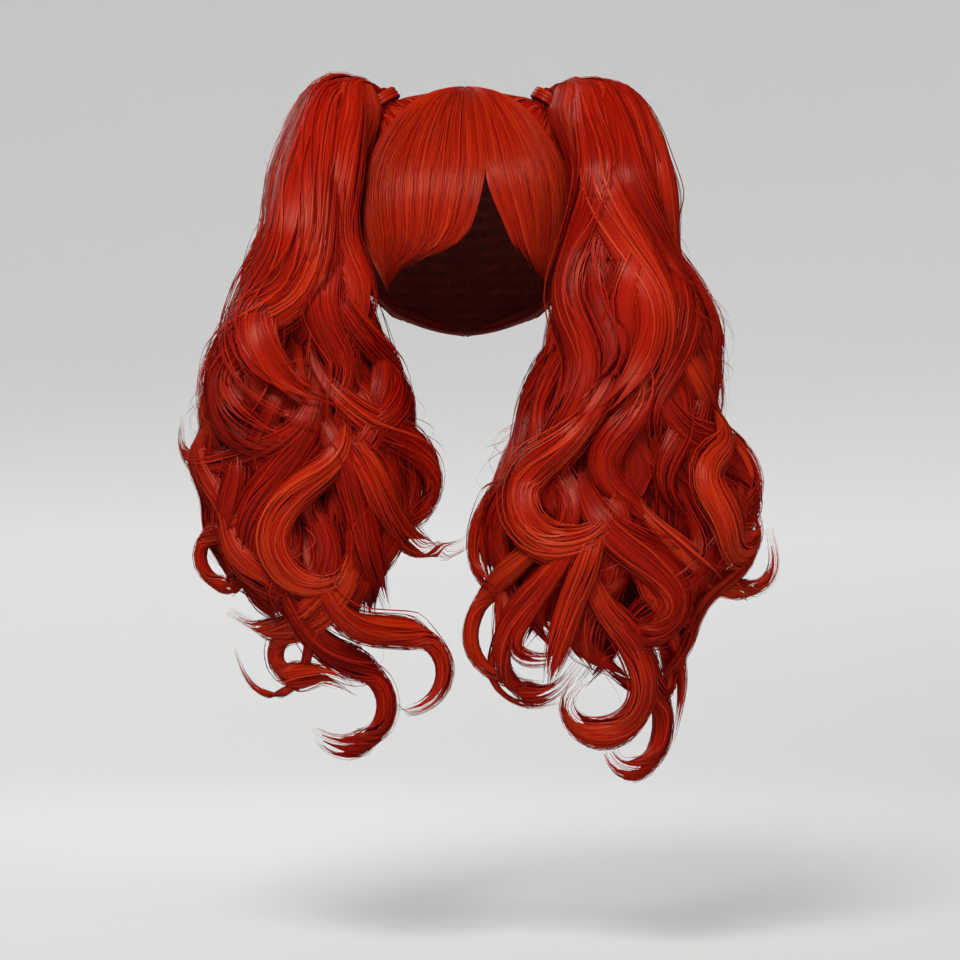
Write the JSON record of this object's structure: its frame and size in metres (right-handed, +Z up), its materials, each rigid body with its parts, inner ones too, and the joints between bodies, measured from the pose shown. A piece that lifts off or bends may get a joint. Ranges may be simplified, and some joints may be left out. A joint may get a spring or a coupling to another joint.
{
  "type": "curly twin-tail wig",
  "caption": "Curly wig to wear: a hollow fitted cap with a parted fringe, hair combed up to a wrapped tie on either side, and a long curly pigtail falling from each tie.",
  "frame": {"origin": "the inside of the cap at its crown, where it sits on the top of the head", "axes": "+Z up, away from the head; the wearer faces -Y; +X is on the right as seen from in front"},
  "size_m": [0.4173, 0.2235, 0.4954],
  "materials": {
    "hair": "red synthetic hair in curled locks, glossy along the strands",
    "wrap": "the same red hair, wound flat round the root of each tail",
    "cap_net": "dark red stretch net with sewn rows, matt"
  },
  "bodies": {
    "root": {"cap": "cap_net", "fringe_left": "hair", "fringe_right": "hair", "side_hair_left": "hair", "side_hair_right": "hair", "tie_left": "wrap", "tie_right": "wrap", "pigtail_left": "hair", "pigtail_right": "hair"}
  },
  "joints": []
}
